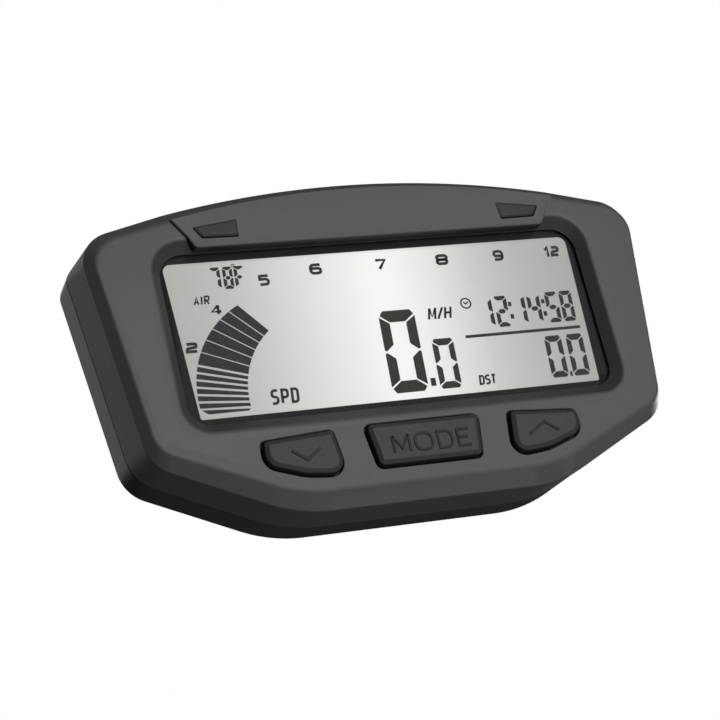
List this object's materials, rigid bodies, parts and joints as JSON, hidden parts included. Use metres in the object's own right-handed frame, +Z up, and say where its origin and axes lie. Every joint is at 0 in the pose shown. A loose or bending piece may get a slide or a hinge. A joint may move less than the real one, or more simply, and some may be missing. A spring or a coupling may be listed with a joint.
{
  "type": "motorcycle instrument cluster",
  "caption": "Compact digital instrument cluster: arched plastic housing, wide segment display, sprung keys, indicator windows, rear mounting pad, cable gland and coin cell door.",
  "frame": {"origin": "centre of the flat rear mounting pad's face, level with the display's centre", "axes": "-Y out of the display towards the rider, +Y out of the back, +Z up, +X to the rider's right"},
  "size_m": [0.114, 0.0249, 0.0652],
  "materials": {
    "housing_plastic": "fine matte moulded plastic",
    "rear_plastic": "fine matte moulded plastic, darker",
    "key_plastic": "matte moulded keys",
    "black_rubber": "silicone rubber",
    "smoked_lens": "smoked light pipe",
    "clear_window": "clear moulded window",
    "lcd_glass": "display glass",
    "mask_black": "printed black border",
    "lcd_face": "silvery reflective display face",
    "reflector_silver": "diffuse silver film",
    "white_plastic": "white moulded plastic",
    "zebra_rubber": "layered conductive silicone",
    "led_white": "white lamp package",
    "led_amber": "amber lamp package",
    "switch_steel": "stamped switch cover",
    "board_green": "solder-masked board",
    "chip_black": "moulded package",
    "header_plastic": "nylon header",
    "steel": "zinc-plated steel",
    "cell_steel": "stainless cell can",
    "brass": "machined or stamped brass"
  },
  "bodies": {
    "housing": {"front_housing": "housing_plastic", "rear_housing": "rear_plastic", "housing_seal": "black_rubber", "visor": "housing_plastic", "light_pipe_left": "smoked_lens", "light_pipe_right": "smoked_lens", "mounting_insert_left": "brass", "mounting_insert_right": "brass", "lens_gasket": "black_rubber", "display_lens": "clear_window", "display_mask": "mask_black", "lcd_polariser": "lcd_face", "lcd_front_glass": "lcd_glass", "lcd_rear_glass": "lcd_glass", "lcd_reflector": "reflector_silver", "light_guide": "white_plastic", "lcd_holder": "white_plastic", "zebra_strip_upper": "zebra_rubber", "zebra_strip_lower": "zebra_rubber", "backlight_led_left": "led_white", "backlight_led_right": "led_white", "switch_body_down": "switch_steel", "switch_body_mode": "switch_steel", "switch_body_up": "switch_steel", "key_seal": "black_rubber", "main_board": "board_green", "microcontroller": "chip_black", "crystal": "steel", "wiring_header": "header_plastic", "indicator_led_left": "led_amber", "indicator_led_right": "led_amber", "board_screw_1": "steel", "board_screw_2": "steel", "board_screw_3": "steel", "coin_cell": "cell_steel", "battery_door_seal": "black_rubber", "battery_contact_negative": "brass", "battery_contact_positive": "brass", "housing_screw_1": "steel", "housing_screw_2": "steel", "housing_screw_3": "steel", "housing_screw_4": "steel", "cable_gland": "black_rubber"},
    "key_down": {"button_down": "key_plastic", "switch_plunger_down": "chip_black"},
    "key_mode": {"button_mode": "key_plastic", "switch_plunger_mode": "chip_black"},
    "key_up": {"button_up": "key_plastic", "switch_plunger_up": "chip_black"},
    "door": {"battery_door": "rear_plastic"}
  },
  "joints": [
    {"name": "press_down", "type": "slide", "parent": "housing", "child": "key_down", "axis": [0, 1, 0], "range_m": [0, 0.001], "stiffness_N_per_m": 900, "springref_m": -0.0011},
    {"name": "press_mode", "type": "slide", "parent": "housing", "child": "key_mode", "axis": [0, 1, 0], "range_m": [0, 0.001], "stiffness_N_per_m": 900, "springref_m": -0.0011},
    {"name": "press_up", "type": "slide", "parent": "housing", "child": "key_up", "axis": [0, 1, 0], "range_m": [0, 0.001], "stiffness_N_per_m": 900, "springref_m": -0.0011},
    {"name": "door_turn", "type": "hinge", "parent": "housing", "child": "door", "pos_m": [0.036, 0, 0.002], "axis": [0, -1, 0], "range_deg": [0, 60]}
  ]
}
